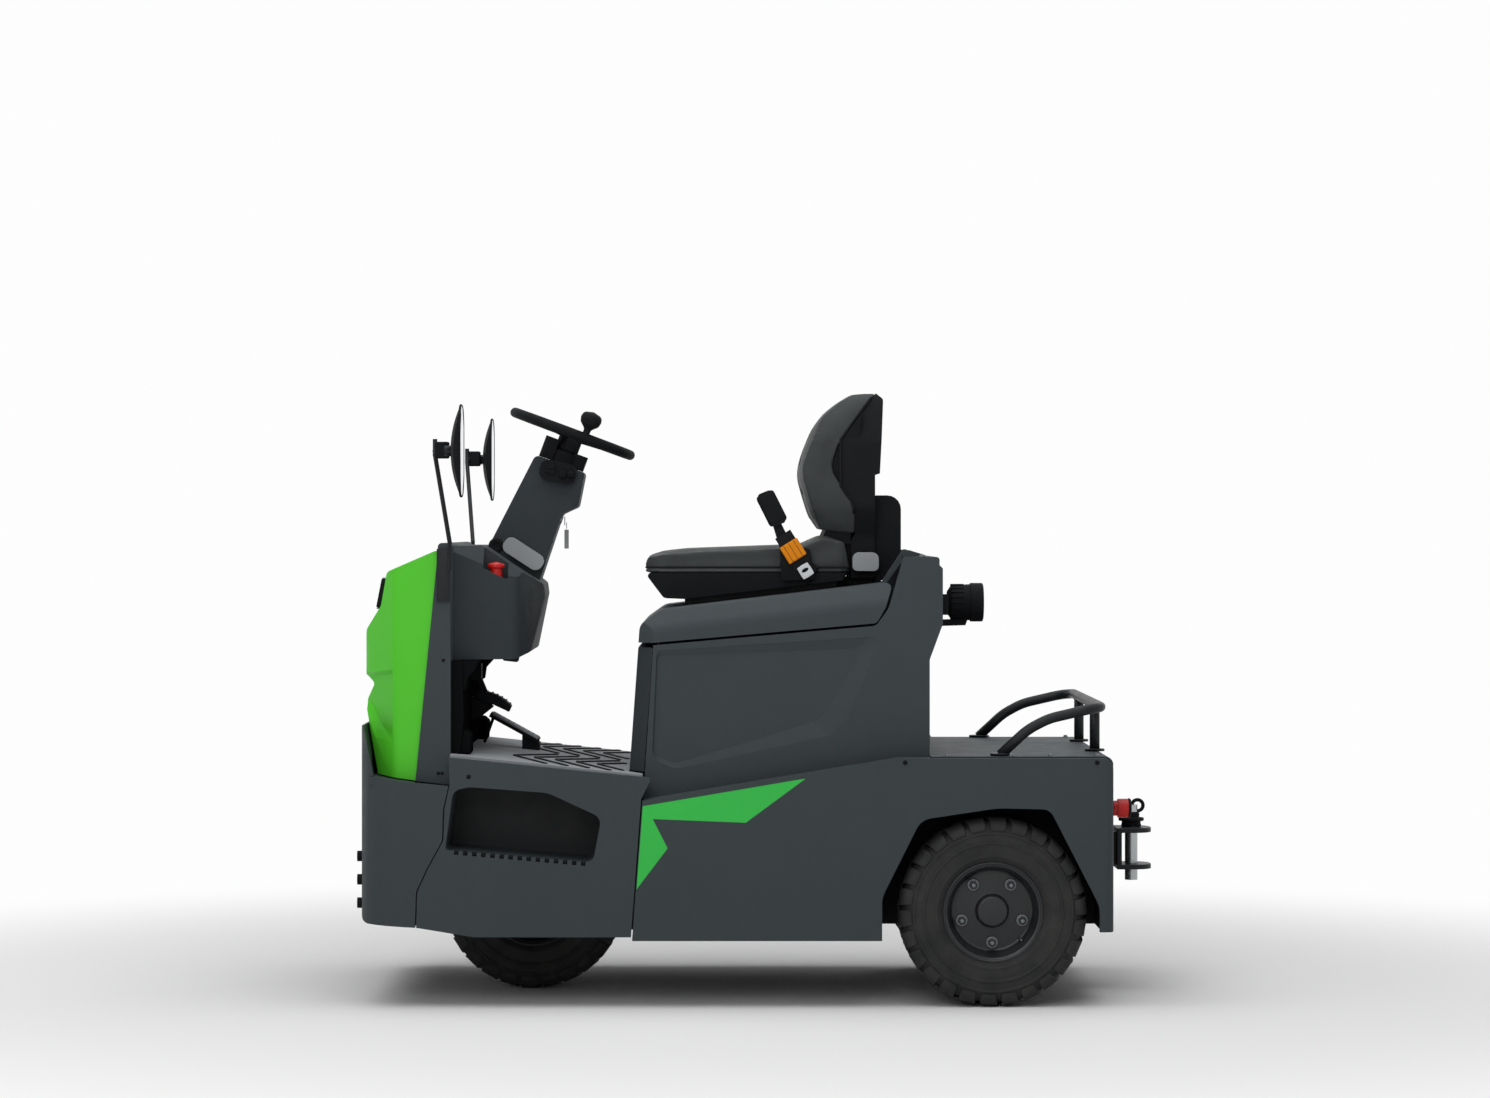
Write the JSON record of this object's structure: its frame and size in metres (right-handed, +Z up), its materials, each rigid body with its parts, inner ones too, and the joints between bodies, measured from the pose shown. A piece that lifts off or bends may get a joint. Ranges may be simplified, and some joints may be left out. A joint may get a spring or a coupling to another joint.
{
  "type": "electric tow tractor",
  "caption": "Compact stand-alone electric tow tractor with one steered front wheel, step-through floor, tilting seat hood over the battery, rear deck with rack and a pin tow jaw.",
  "frame": {"origin": "on the ground under the middle of the bounding box", "axes": "+X forward, +Y to the vehicle's left, +Z up"},
  "size_m": [1.977, 1.45, 1.5011],
  "materials": {
    "body_grey": "satin moulded grey",
    "cover_green": "gloss moulded green",
    "trim_black": "grained black",
    "dash_grey": "grained dark grey",
    "frame_steel": "satin black",
    "mat": "ribbed rubber",
    "battery": "plain casing",
    "seat_vinyl": "grained vinyl",
    "lamp_glass": "clear lens",
    "lamp_red": "red lens",
    "button_red": "red",
    "lever_grey": "light grey",
    "tyre": "black rubber",
    "rim": "satin black",
    "pin_steel": "bright steel"
  },
  "bodies": {
    "chassis": {"frame_rails": "frame_steel", "steering_head": "frame_steel", "battery_tray": "frame_steel", "battery_pack": "battery", "rear_axle": "frame_steel", "front_apron": "body_grey", "front_cover": "cover_green", "front_cowl": "body_grey", "footwell_bulkhead": "trim_black", "dash_pod": "dash_grey", "column_cover": "dash_grey", "switch_pod": "trim_black", "tilt_lever": "lever_grey", "stop_switch": "button_red", "floor_plate": "mat", "step_panel_left": "body_grey", "step_panel_right": "body_grey", "fender_panel_left": "body_grey", "fender_panel_right": "body_grey", "arch_liners": "trim_black", "rear_panel": "body_grey", "rear_deck": "body_grey", "battery_side_left": "body_grey", "battery_side_right": "body_grey", "battery_front": "dash_grey", "tower": "body_grey", "luggage_rack": "frame_steel", "tow_jaw": "frame_steel", "push_button": "button_red", "tail_lamps": "lamp_red", "work_light": "trim_black", "headlamps": "lamp_glass", "mirror_arms": "frame_steel", "mirror_heads": "trim_black", "pedals": "trim_black", "bumper_studs": "trim_black"},
    "hood": {"seat_hood": "body_grey", "seat_base": "frame_steel", "seat_pan": "trim_black", "seat_cushion": "seat_vinyl", "seat_backrest": "seat_vinyl", "backrest_shell": "trim_black", "seat_rear_box": "trim_black", "seat_adjuster": "lever_grey", "seat_belt": "trim_black"},
    "steering_wheel": {"steering_wheel": "trim_black"},
    "steer_fork": {"steer_fork": "frame_steel"},
    "front_wheel": {"front_tyre": "tyre", "front_rim": "rim"},
    "rear_wheel_left": {"rear_tyre_left": "tyre", "rear_rim_left": "rim"},
    "rear_wheel_right": {"rear_tyre_right": "tyre", "rear_rim_right": "rim"},
    "tow_pin": {"tow_pin": "pin_steel"}
  },
  "joints": [
    {"name": "steer", "type": "hinge", "parent": "chassis", "child": "steer_fork", "pos_m": [0.5725, 0, 0.23], "axis": [0, 0, 1], "range_deg": [-85, 85]},
    {"name": "front_wheel_spin", "type": "hinge", "parent": "steer_fork", "child": "front_wheel", "pos_m": [0.5725, 0, 0.23], "axis": [0, 1, 0], "continuous": true},
    {"name": "rear_wheel_left_spin", "type": "hinge", "parent": "chassis", "child": "rear_wheel_left", "pos_m": [-0.5595, 0.4, 0.23], "axis": [0, 1, 0], "continuous": true},
    {"name": "rear_wheel_right_spin", "type": "hinge", "parent": "chassis", "child": "rear_wheel_right", "pos_m": [-0.5595, -0.4, 0.23], "axis": [0, 1, 0], "continuous": true},
    {"name": "steering_wheel_turn", "type": "hinge", "parent": "chassis", "child": "steering_wheel", "pos_m": [0.477, 0, 1.4], "axis": [-0.3486, 0, 0.9373], "range_deg": [-680, 680]},
    {"name": "hood_lift", "type": "hinge", "parent": "chassis", "child": "hood", "pos_m": [-0.352, 0, 1.099], "axis": [0, -1, 0], "range_deg": [0, 60]},
    {"name": "tow_pin_lift", "type": "slide", "parent": "chassis", "child": "tow_pin", "axis": [0, 0, 1], "range_m": [0, 0.13]}
  ],
  "couplings": [
    {"joint": "steering_wheel_turn", "follows": "steer", "ratio": 8}
  ]
}
